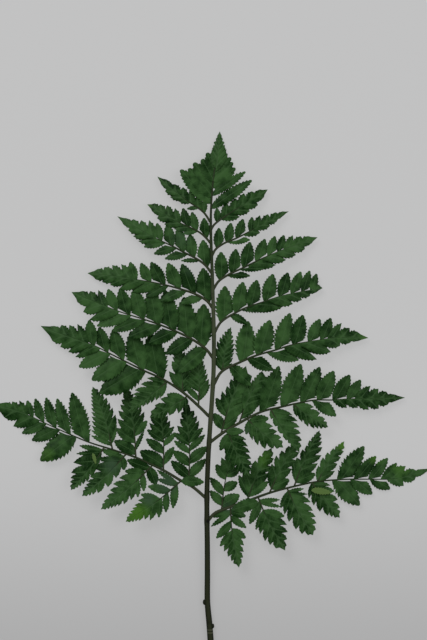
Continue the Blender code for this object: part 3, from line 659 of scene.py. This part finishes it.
def lobesOf(run, given, side, half):
    # lobe tips on one side of a leaflet's rib, given ones first and the rest by rule
    length = run["length"]
    places = np.array(given, float)
    shares, gaps = nearestOn(run, places)
    normal = turned(directionAt(run, shares))
    onSide = ((places - pointAt(run, shares)) * normal).sum(1) * side > 0
    found = [(shares[i], gaps[i], places[i]) for i in range(len(places)) if onSide[i]]
    found.sort(key=lambda lobe: lobe[0])
    lastShare, lastGap = found[-1][:2] if found else (0.12, 0.0)
    share = lastShare + 0.08
    while share < 0.965:
        taper = (1 - share) ** cutLook["taper"] * (1 - share ** 8)
        width = min(half, cutLook["envelope"] * length * taper)
        if found and lastGap > 0:
            width = lastGap * ((1 - share) / (1 - lastShare)) ** 0.72
        step = cutLook["lobeSpacing"] * (0.45 + 0.75 * (1 - share)) / length
        tip = pointAt(run, share) + turned(directionAt(run, share)) * side * width
        found.append((share, width, tip))
        share += step
    lobes = []
    last = 0.015
    for share, gap, tip in found:
        root = share - gap / math.tan(math.radians(cutLook["forward"])) / length
        if not lobes:
            root = min(root, cutLook["firstRoot"])
        root = max(root, last + 0.25 * cutLook["lobeSpacing"] / length)
        last = root
        if root < 0.97:
            lobes.append((root, tip))
    return lobes


def addCutLeaflet(blade, ribs, root, tip, given, basalSide, half, heightOf, freeLimit):
    chord = tip - root
    length = np.linalg.norm(chord)
    bowed = root + chord * 0.45 + unit(turned(chord) * np.sign(turned(chord) @ basalSide)) * 0.03 * length
    run = makeRun([root, bowed, tip])
    for side in (1, -1):
        lobes = lobesOf(run, given, side, half)
        free = [lobe for lobe in lobes if lobe[0] < freeLimit]
        grown = [lobe for lobe in lobes if lobe[0] >= freeLimit]
        for i, (share, spot) in enumerate(free):
            foot = pointAt(run, share)
            span = np.linalg.norm(spot - foot)
            others = [other for other in lobes[max(0, i - 1):i + 2] if other[0] != share]
            line = unit(spot - foot)
            halfway = [(pointAt(run, other[0]) + other[1]) / 2 - foot for other in others]
            gaps = [abs(turned(line) @ step) for step in halfway]
            wide = min(cutLook["segmentCrowd"] * min(gaps), cutLook["segmentRatio"] * span + 0.7)
            back = -directionAt(run, share)
            addLeaflet(blade, foot, spot, back, wide, heightOf, segmentTeeth, 1.0, run)
        if grown:
            start = free[-1][0] + 0.4 * (grown[0][0] - free[-1][0]) if free else 0.01
            addFringe(blade, run, grown, start, cutLook["cuts"], heightOf, cutLook["toothSize"])
    shares = np.linspace(0, 0.97, max(8, round(length / 3)))
    centres = pointAt(run, shares)
    bare = max(freeLimit, cutLook["firstRoot"])
    rises = np.interp(shares, [0, bare, bare + 0.22, 1], ribLook["cutRises"]) * millimetre
    radii = alongRib(shares, ribLook["cutRadii"]) * min(1.0, 0.45 + length / 90)
    addTube(ribs, toMetres(centres, heightOf(centres) + rises), radii, 8)


# Ribs and stem: grids rolled into tubes

ribLook = {
    "radii": [(0, 1.0), (0.2, 0.80), (0.55, 0.46), (1, 0.16)],       # share of the rib, millimetres
    "rises": [(0, 0.12), (0.4, 0.08), (0.65, -0.16), (1, -0.22)],    # over the middle of the blade
    "cutRadii": [(0, 0.70), (0.3, 0.46), (1, 0.16)],                 # the same for cut leaflets
    "cutRises": [0.10, 0.06, -0.26, -0.26],
    "sides": ((0.004, 0.014, 0.003), (0.014, 0.030, 0.008)),
    "joint": (0.040, 0.046, 0.024),
    # painted highlight along the top of the ribs
    "top": (0.060, 0.080, 0.036),
}


def alongRib(shares, values):
    return np.interp(shares, *zip(*values)) * millimetre


def newTube():
    mesh = bmesh.new()
    # tubePlace: height on the section, share of the length, the tube's own tone
    tubePlace = mesh.verts.layers.float_vector.new("tubePlace")
    return {"mesh": mesh, "tubePlace": tubePlace}


def addTube(tube, centres, radii, sides, section=None):
    mesh = tube["mesh"]
    radii = np.minimum(radii, centres[:, 2] - 0.00003)   # stays above the surface
    centres = np.vstack([centres[:1], centres, centres[-1:]])
    radii = np.concatenate([[0], radii, [0]])
    rings = len(centres) - 1
    along = np.gradient(centres[1:-1], axis=0)
    along = along / np.linalg.norm(along, axis=1, keepdims=True)
    along = np.vstack([along[:1], along, along[-1:]])
    sideways = np.cross(along, (0, 0, 1))
    sideways = sideways / np.linalg.norm(sideways, axis=1, keepdims=True)
    upright = np.cross(sideways, along)
    grid = bmesh.ops.create_grid(mesh, x_segments=sides, y_segments=rings, size=1)
    tone = chance.random()
    for vert in grid["verts"]:
        turn = (vert.co.x + 1) * math.pi
        ring = round((vert.co.y + 1) / 2 * rings)
        if round((vert.co.x + 1) / 2 * sides) == sides:   # the seam
            turn = 0.0
        swell = section(turn) if section else 1.0
        reach = sideways[ring] * math.cos(turn) + upright[ring] * math.sin(turn)
        vert.co = centres[ring] + reach * radii[ring] * swell
        vert[tube["tubePlace"]] = (math.sin(turn), ring / rings, tone)


def closeTubes(tube):
    mesh = tube["mesh"]
    bmesh.ops.remove_doubles(mesh, verts=mesh.verts, dist=1e-6)
    bmesh.ops.recalc_face_normals(mesh, faces=mesh.faces)


# Materials

def newMaterial(name, roughness):
    material = bpy.data.materials.new(name)
    material.use_nodes = True
    shader = material.node_tree.nodes["Principled BSDF"]
    shader.inputs["Roughness"].default_value = roughness
    shader.inputs["Specular IOR Level"].default_value = 0.09
    return material, material.node_tree, shader


def mathNode(tree, operation, first, second=None, third=None, clamp=False):
    node = tree.nodes.new("ShaderNodeMath")
    node.operation = operation
    node.use_clamp = clamp
    for socket, value in zip(node.inputs, (first, second, third)):
        if value is None:
            continue
        if isinstance(value, (int, float)):
            socket.default_value = value
        else:
            tree.links.new(value, socket)
    return node.outputs[0]


def mixColour(tree, share, first, second):
    node = tree.nodes.new("ShaderNodeMix")
    node.data_type = "RGBA"
    for socket, value in ((node.inputs[0], share), (node.inputs[6], first), (node.inputs[7], second)):
        if isinstance(value, (int, float)):
            socket.default_value = value
        elif isinstance(value, tuple):
            socket.default_value = (*value, 1.0)
        else:
            tree.links.new(value, socket)
    return node.outputs[2]


def noiseNode(tree, vector, scale, detail=3.0, roughness=0.55):
    node = tree.nodes.new("ShaderNodeTexNoise")
    node.inputs["Scale"].default_value = scale
    node.inputs["Detail"].default_value = detail
    node.inputs["Roughness"].default_value = roughness
    tree.links.new(vector, node.inputs["Vector"])
    return node.outputs["Fac"]


def attributeNode(tree, name):
    # a piece's own attribute, whole and as its three parts
    place = tree.nodes.new("ShaderNodeAttribute")
    place.attribute_name = name
    parts = tree.nodes.new("ShaderNodeSeparateXYZ")
    tree.links.new(place.outputs["Vector"], parts.inputs[0])
    return place.outputs["Vector"], parts.outputs


def addBump(tree, shader, height, strength, distance):
    bump = tree.nodes.new("ShaderNodeBump")
    bump.inputs["Strength"].default_value = strength
    bump.inputs["Distance"].default_value = distance
    tree.links.new(height, bump.inputs["Height"])
    tree.links.new(bump.outputs[0], shader.inputs["Normal"])


def mapRange(tree, value, low, high, newLow=0.0, newHigh=1.0):
    node = tree.nodes.new("ShaderNodeMapRange")
    node.interpolation_type = "SMOOTHSTEP"
    tree.links.new(value, node.inputs[0])
    for socket, number in zip(node.inputs[1:5], (low, high, newLow, newHigh)):
        socket.default_value = number
    return node.outputs[0]


def makeVeinGroup():
    # fine side veins and the main vein of a leaflet, from the distances kept on its points
    tree = bpy.data.node_groups.new("leafletVeins", "ShaderNodeTree")
    tree.interface.new_socket(name="Place", in_out="INPUT", socket_type="NodeSocketVector")
    tree.interface.new_socket(name="Spacing", in_out="INPUT", socket_type="NodeSocketFloat")
    tree.interface.new_socket(name="Main vein", in_out="OUTPUT", socket_type="NodeSocketFloat")
    tree.interface.new_socket(name="Side veins", in_out="OUTPUT", socket_type="NodeSocketFloat")
    given = tree.nodes.new("NodeGroupInput")
    result = tree.nodes.new("NodeGroupOutput")
    parts = tree.nodes.new("ShaderNodeSeparateXYZ")
    tree.links.new(given.outputs["Place"], parts.inputs[0])
    main = mapRange(tree, parts.outputs[0], 0.10, 0.34, 1.0, 0.0)
    forward = mathNode(tree, "MULTIPLY", parts.outputs[0], 0.95)
    phase = mathNode(tree, "SUBTRACT", parts.outputs[1], forward)
    phase = mathNode(tree, "DIVIDE", phase, given.outputs["Spacing"])
    wave = mathNode(tree, "PINGPONG", phase, 0.5)
    side = mapRange(tree, wave, 0.0, 0.13, 1.0, 0.0)
    edge = mapRange(tree, parts.outputs[2], 0.70, 0.98, 1.0, 0.0)
    side = mathNode(tree, "MULTIPLY", side, edge)
    tree.links.new(main, result.inputs["Main vein"])
    tree.links.new(side, result.inputs["Side veins"])
    return tree


leafFinish = {
    "dark": (0.003, 0.026, 0.001),
    "green": (0.046, 0.120, 0.030),
    "vein": (0.065, 0.140, 0.048),
    # painted sheen colour
    "yellow": (0.075, 0.205, 0.016),
    "paintedSheen": (0.050, 0.098, 0.052),
    "under": (0.050, 0.110, 0.040),
    "fold": (0.118, 0.200, 0.054),
    "roughness": 0.46,
    "mottle": (2.7, -1.54),      # strength and start of the mix of dark and green
    "veinSpacing": 1.7,          # millimetres
    "sideVeins": 0.28,
    "mainVein": 0.55,
}


def makeLeafMaterial(name, veins, under):
    material, tree, shader = newMaterial(name, leafFinish["roughness"])
    place = attributeNode(tree, "veinPlace")[0]
    tone, yellowing, sheenAndFold = attributeNode(tree, "leafTone")[1]
    group = tree.nodes.new("ShaderNodeGroup")
    group.node_tree = veins
    tree.links.new(place, group.inputs["Place"])
    group.inputs["Spacing"].default_value = leafFinish["veinSpacing"]
    spot = tree.nodes.new("ShaderNodeTexCoord").outputs["Object"]
    mottle = noiseNode(tree, spot, 150.0, 4.0)
    cloud = noiseNode(tree, spot, 28.0, 2.0)
    grain = noiseNode(tree, spot, 2400.0, 2.0)
    share = mathNode(tree, "MULTIPLY_ADD", mottle, *leafFinish["mottle"])
    share = mathNode(tree, "MULTIPLY_ADD", tone, 0.7, share)
    share = mathNode(tree, "MULTIPLY_ADD", cloud, 0.6, share, clamp=True)
    colour = mixColour(tree, share, leafFinish["dark"], leafFinish["green"])
    if under:
        colour = mixColour(tree, 0.75, colour, leafFinish["under"])
    lines = mathNode(tree, "MULTIPLY", group.outputs["Side veins"], leafFinish["sideVeins"])
    lines = mathNode(tree, "MULTIPLY_ADD", group.outputs["Main vein"], leafFinish["mainVein"], lines)
    colour = mixColour(tree, lines, colour, leafFinish["vein"])
    yellow = mathNode(tree, "MULTIPLY_ADD", mottle, 0.9, -0.45)
    yellow = mathNode(tree, "ADD", yellowing, yellow)
    yellow = mathNode(tree, "MINIMUM", yellow, yellowing, clamp=True)
    colour = mixColour(tree, yellow, colour, leafFinish["yellow"])
    # painted sheen, then the pale fold colour where the share goes above 1
    colour = mixColour(tree, sheenAndFold, colour, leafFinish["paintedSheen"])
    pale = mathNode(tree, "SUBTRACT", sheenAndFold, 1.0, clamp=True)
    colour = mixColour(tree, pale, colour, leafFinish["fold"])
    tree.links.new(colour, shader.inputs["Base Color"])
    rough = mathNode(tree, "MULTIPLY_ADD", mottle, 0.25, leafFinish["roughness"] - 0.12)
    tree.links.new(rough, shader.inputs["Roughness"])
    height = mathNode(tree, "MULTIPLY", group.outputs["Side veins"], 0.9 if under else -0.9)
    height = mathNode(tree, "MULTIPLY_ADD", grain, 0.5, height)
    addBump(tree, shader, height, 0.35, 0.00012)
    return material


def makeRibMaterial():
    material, tree, shader = newMaterial("ribOlive", 0.5)
    upward, share = attributeNode(tree, "tubePlace")[1][:2]
    spot = tree.nodes.new("ShaderNodeTexCoord").outputs["Object"]
    streak = noiseNode(tree, spot, 260.0, 3.0)
    colour = mixColour(tree, streak, *ribLook["sides"])
    joint = mapRange(tree, share, 0.0, 0.45, 1.0, 0.0)
    colour = mixColour(tree, joint, colour, ribLook["joint"])
    # painted highlight: the upper side of each rib is mixed towards the top colour
    top = mathNode(tree, "MULTIPLY", mapRange(tree, upward, 0.2, 1.0), 0.35)
    colour = mixColour(tree, top, colour, ribLook["top"])
    tree.links.new(colour, shader.inputs["Base Color"])
    return material


stemLook = {
    "rings": 260,
    "sides": 24,
    "groove": 0.10,
    "jointSwell": 0.10,
    "knobs": [(204.4, 603.5, 0.0027, 0.0014), (212.9, 627.5, 0.0025, 0.0012)],   # height, radius in metres
    "ringsAt": 0.17963,
    "scarAt": (-0.00225, -0.0960, 0.0092),
    "low": ((0.007, 0.010, 0.004), (0.024, 0.028, 0.013)),       # streaks, from the cut end up
    "middle": ((0.034, 0.048, 0.022), (0.085, 0.105, 0.056)),
    "high": ((0.008, 0.018, 0.006), (0.026, 0.044, 0.016)),
    # painted highlight along the top of the stem
    "paintedHighlight": (0.085, 0.095, 0.048),
    "blotch": (0.010, 0.010, 0.006),
    "ringMark": (0.20, 0.20, 0.13),
    "scar": (0.004, 0.004, 0.003),
    "cutFace": (0.16, 0.15, 0.065),
}


def makeStemMaterial():
    material, tree, shader = newMaterial("stemOlive", 0.42)
    upward, share = attributeNode(tree, "tubePlace")[1][:2]
    coordinates = tree.nodes.new("ShaderNodeTexCoord").outputs["Object"]
    stretch = tree.nodes.new("ShaderNodeMapping")
    stretch.inputs["Scale"].default_value = (1.0, 0.06, 1.0)
    tree.links.new(coordinates, stretch.inputs["Vector"])
    streak = noiseNode(tree, stretch.outputs[0], 1500.0, 3.0)
    blotch = noiseNode(tree, coordinates, 90.0, 3.0)
    where = tree.nodes.new("ShaderNodeSeparateXYZ")
    tree.links.new(coordinates, where.inputs[0])
    height = where.outputs[1]
    colour, middle, high = [mixColour(tree, streak, *stemLook[zone]) for zone in ("low", "middle", "high")]
    colour = mixColour(tree, mapRange(tree, height, -0.06, 0.0), colour, middle)
    colour = mixColour(tree, mapRange(tree, height, 0.07, 0.105), colour, high)
    # painted highlight: the upper side of the stem's section is mixed lighter
    paintedHighlight = mathNode(tree, "MULTIPLY", mapRange(tree, upward, 0.72, 1.0), 0.22)
    colour = mixColour(tree, paintedHighlight, colour, stemLook["paintedHighlight"])
    dark = mapRange(tree, blotch, 0.58, 0.75, 0.0, 0.6)
    colour = mixColour(tree, dark, colour, stemLook["blotch"])
    ring = mathNode(tree, "ABSOLUTE", mathNode(tree, "ADD", height, stemLook["ringsAt"]))
    ring = mathNode(tree, "ABSOLUTE", mathNode(tree, "SUBTRACT", ring, 0.0011))
    ring = mapRange(tree, ring, 0.0002, 0.0006, 0.7, 0.0)
    ring = mathNode(tree, "MULTIPLY", ring, streak)
    colour = mixColour(tree, ring, colour, stemLook["ringMark"])
    scar = tree.nodes.new("ShaderNodeVectorMath")
    scar.operation = "DISTANCE"
    scar.inputs[1].default_value = stemLook["scarAt"]
    tree.links.new(coordinates, scar.inputs[0])
    scar = mapRange(tree, scar.outputs["Value"], 0.0009, 0.0019, 0.9, 0.0)
    colour = mixColour(tree, scar, colour, stemLook["scar"])
    cut = mapRange(tree, share, 0.0012, 0.0034, 1.0, 0.0)
    colour = mixColour(tree, cut, colour, stemLook["cutFace"])
    tree.links.new(colour, shader.inputs["Base Color"])
    addBump(tree, shader, streak, 0.4, 0.0002)
    return material


# nearGlow: share of the floor's glow left at the bottom of the view, a painted falloff of light
floorLook = {"dark": 0.175, "pale": 0.19, "glow": 0.41, "nearGlow": 0.67, "size": 4.0}


def makeFloorMaterial():
    material, tree, shader = newMaterial("floorPale", 0.9)
    spot = tree.nodes.new("ShaderNodeTexCoord").outputs["Object"]
    cloud = noiseNode(tree, spot, 3.0, 2.0)
    colour = mixColour(tree, cloud, (floorLook["dark"],) * 3, (floorLook["pale"],) * 3)
    tree.links.new(colour, shader.inputs["Base Color"])
    parts = tree.nodes.new("ShaderNodeSeparateXYZ")
    tree.links.new(spot, parts.inputs[0])
    # painted falloff: the floor's glow is dimmer towards the bottom of the view
    paintedFalloff = mapRange(tree, parts.outputs[1], -0.26, -0.02, floorLook["nearGlow"], 1.0)
    tree.links.new(mixColour(tree, paintedFalloff, (0.0, 0.0, 0.0), (1.0, 1.0, 1.0)), shader.inputs["Emission Color"])
    shader.inputs["Emission Strength"].default_value = floorLook["glow"]
    shader.inputs["Specular IOR Level"].default_value = 0.2
    return material


# Pieces

def placeMesh(name, mesh, materials):
    data = bpy.data.meshes.new(name)
    mesh.to_mesh(data)
    mesh.free()
    for material in materials:
        data.materials.append(material)
    piece = bpy.data.objects.new(name, data)
    bpy.context.scene.collection.objects.link(piece)
    return piece


def finishPiece(name, mesh, materials):
    piece = placeMesh(name, mesh, materials)
    piece.data.shade_smooth()
    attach(piece, "root")
    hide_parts("frond")
    return piece


def finishBlade(name, blade, materials):
    mesh = blade["mesh"]
    bmesh.ops.remove_doubles(mesh, verts=mesh.verts, dist=1e-5)
    wall = finishPiece(name, mesh, materials).modifiers.new("bladeThickness", "SOLIDIFY")
    wall.thickness = bladeLook["thickness"]
    wall.offset = 0.0
    wall.use_even_offset = False
    wall.material_offset = 1
    wall.material_offset_rim = 0


def rootsOf(branch, side, rib, tips):
    # shares of the rib where leaflets stand: as read, and by their lean for the others
    steps = np.arange(len(tips)) / len(tips)
    near, far = branch["lean"][:2] if side == "upper" else branch["lean"][2:]
    shares, gaps = nearestOn(rib, tips)
    roots = shares - gaps / np.tan(np.radians(near + (far - near) * steps)) / rib["length"]
    read = branch.get(side + "Feet", [])
    if read:
        roots[:len(read)] = nearestOn(rib, np.array(read, float))[0]
    roots[0] = max(roots[0], 0.03)
    for i in range(1, len(roots)):
        roots[i] = max(roots[i], roots[i - 1] + 0.012)
    return np.minimum(roots, 0.985)


def growSide(blade, ribs, rib, side, branch, heightOf):
    tips = np.array(branch[side], float)
    lower = side == "lower"
    count = len(tips)
    shares = rootsOf(branch, side, rib, tips)
    roots = pointAt(rib, shares)
    grown = []
    for i in range(count):
        if i / count >= branch["free"][lower]:
            grown.append((shares[i], tips[i]))
            continue
        root, tip = roots[i], tips[i]
        length = np.linalg.norm(tip - root)
        line = unit(tip - root)
        spaces = []
        for other in (i - 1, i + 1):
            if 0 <= other < count:
                between = (roots[other] + tips[other]) / 2 - root
                spaces.append(abs(turned(line) @ between))
        towardJoint = -directionAt(rib, shares[i])
        freeLimit, given = branch.get("lobes", {}).get(side + str(i), (0.0, []))
        if given:
            half = cutLook["crowd"] * spaces[-1]
            addCutLeaflet(blade, ribs, root, tip, given, towardJoint, half, heightOf, freeLimit)
            continue
        ratio = branch.get("ratios", growth["ratios"])[lower]
        if lower and branch["lean"][2] < growth["slimLean"]:
            ratio = growth["slimRatio"]
        look = fineTeeth
        if length > growth["cutLength"]:
            ratio, look = growth["coarseRatio"], coarseTeeth
        half = min(branch.get("crowd", growth["crowd"]) * (spaces[0] + spaces[-1]), ratio * length)
        addLeaflet(blade, root, tip, towardJoint, half, heightOf, look, 1.0, rib)
    nextShare = grown[1][0] if len(grown) > 1 else 1.0
    start = max(grown[0][0] - 0.5 * (nextShare - grown[0][0]), 0.0)
    cuts = (growth["firstCut"], growth["lastCut"])
    addFringe(blade, rib, grown, start, cuts, heightOf, fringeLook["toothSize"])


def growBranch(name, branch, materials, ribs):
    rib = makeRun(branch["rib"])
    heightOf = branchHeight(branch, rib)
    blade = newBlade()
    for side in ("upper", "lower"):
        growSide(blade, ribs, rib, side, branch, heightOf)
    for root, tip, pale in branch.get("extra", []):
        blade["pale"] = pale
        root, tip = np.array(root, float), np.array(tip, float)
        half = growth["paleRatio" if pale else "extraRatio"] * np.linalg.norm(tip - root)
        above = lambda places: heightOf(places) + growth["extraLift"]
        addLeaflet(blade, root, tip, turned(tip - root), half, above, fineTeeth, 0.3)
    finishBlade(name, blade, materials)
    shares = np.linspace(0, 0.985, max(24, round(rib["length"] / 3)))
    centres = pointAt(rib, shares)
    stout = min(1.25, 0.75 + rib["length"] / 400)
    heights = heightOf(centres) + alongRib(shares, ribLook["rises"])
    addTube(ribs, toMetres(centres, heights), alongRib(shares, ribLook["radii"]) * stout, 10)


def growTop(materials):
    blade = newBlade()
    for i, (joint, tip, half) in enumerate(topBlade["branches"]):
        joint, tip = np.array(joint, float), np.array(tip, float)
        lift = 0.00012 * (i % 4)
        addLeaflet(blade, joint, tip, np.array([0.0, 1.0]), half,
                   lambda places, lift=lift: rachisHeight(places) + lift, branchTeeth, 0.35)
    run = makeRun(topBlade["rib"])
    for side, start in zip(("left", "right"), topBlade["starts"]):
        tips = topBlade[side]
        shares, gaps = nearestOn(run, np.array(tips))
        roots = shares - gaps / math.tan(math.radians(topBlade["lean"])) / run["length"]
        roots = np.maximum.accumulate(np.maximum(roots, start + 0.02) + np.arange(len(tips)) * 1e-3)
        addFringe(blade, run, list(zip(roots, tips)), start, topBlade["cuts"],
                  lambda places: rachisHeight(places) + 0.0005, fringeLook["toothSize"])
    finishBlade("top", blade, materials)


def stemSection(turn):
    fromTop = turn - math.pi / 2
    return 1.0 - stemLook["groove"] * math.exp(-(fromTop / 0.22) ** 2)


def growStem(material):
    tube = newTube()
    shares = np.linspace(0, 1, stemLook["rings"])
    centres = pointAt(rachisRun, shares)
    heights = np.interp(shares, rachisShares, rachisHeights)
    radii = np.interp(shares, rachisShares, rachisWidths) / 2
    joints = np.array([branch["rib"][0] for branch in sideBranches.values()], float)
    for joint in nearestOn(rachisRun, joints)[0]:
        radii = radii * (1 + stemLook["jointSwell"] * np.exp(-((shares - joint) / 0.008) ** 2))
    addTube(tube, toMetres(centres, heights + 0.00006), radii, stemLook["sides"], stemSection)
    closeTubes(tube)
    for x, y, height, radius in stemLook["knobs"]:
        spot = toMetres(np.array([[x, y]], float), [height])[0]
        place = Matrix.Translation(spot) @ Matrix.Diagonal((0.9, 1.5, 0.8, 1.0))
        knob = bmesh.ops.create_icosphere(tube["mesh"], subdivisions=3, radius=radius, matrix=place)
        for vert in knob["verts"]:
            vert[tube["tubePlace"]] = (0.4, 0.1, 0.5)
    finishPiece("stem", tube["mesh"], [material])


def makeFloor():
    mesh = bmesh.new()
    bmesh.ops.create_grid(mesh, x_segments=1, y_segments=1, size=floorLook["size"])
    placeMesh("floor", mesh, [makeFloorMaterial()])


studio = {"worldStrength": 0.24, "keyWatts": 18.0, "fillWatts": 8.0, "lens": 85.0,
          "viewHeight": 0.48, "viewCentre": (0.001875, 0.05475)}     # metres


def addSoftLight(name, location, size, watts):
    data = bpy.data.lights.new(name, "AREA")
    data.shape = "SQUARE"
    data.size = size
    data.energy = watts
    light = bpy.data.objects.new(name, data)
    light.location = location
    light.rotation_mode = "QUATERNION"
    light.rotation_quaternion = (-light.location).to_track_quat("-Z", "Y")
    bpy.context.scene.collection.objects.link(light)


def makeStudio():
    world = bpy.data.worlds.new("studioWorld")
    world.use_nodes = True
    sky = world.node_tree.nodes["Background"]
    sky.inputs["Color"].default_value = (0.97, 0.98, 1.0, 1.0)
    sky.inputs["Strength"].default_value = studio["worldStrength"]
    bpy.context.scene.world = world
    addSoftLight("keyLight", (-0.9, 1.3, 1.5), 1.2, studio["keyWatts"])
    addSoftLight("fillLight", (1.2, 0.2, 1.4), 1.2, studio["fillWatts"])
    data = bpy.data.cameras.new("camera")
    data.lens = studio["lens"]
    camera = bpy.data.objects.new("camera", data)
    distance = studio["viewHeight"] * studio["lens"] / 36.0
    camera.location = (*studio["viewCentre"], distance + 0.008)
    bpy.context.scene.collection.objects.link(camera)
    bpy.context.scene.camera = camera
    bpy.context.scene.view_settings.view_transform = "Standard"


veins = makeVeinGroup()
leafMaterials = [makeLeafMaterial("leafGreen", veins, False), makeLeafMaterial("leafUnder", veins, True)]
print("frond: materials made")
ribs = newTube()
for name, branch in sideBranches.items():
    growBranch(name, branch, leafMaterials, ribs)
    print("frond: grew", name)
growTop(leafMaterials)
closeTubes(ribs)
finishPiece("ribs", ribs["mesh"], [makeRibMaterial()])
growStem(makeStemMaterial())
print("frond: stem and ribs grown")
makeFloor()
makeStudio()
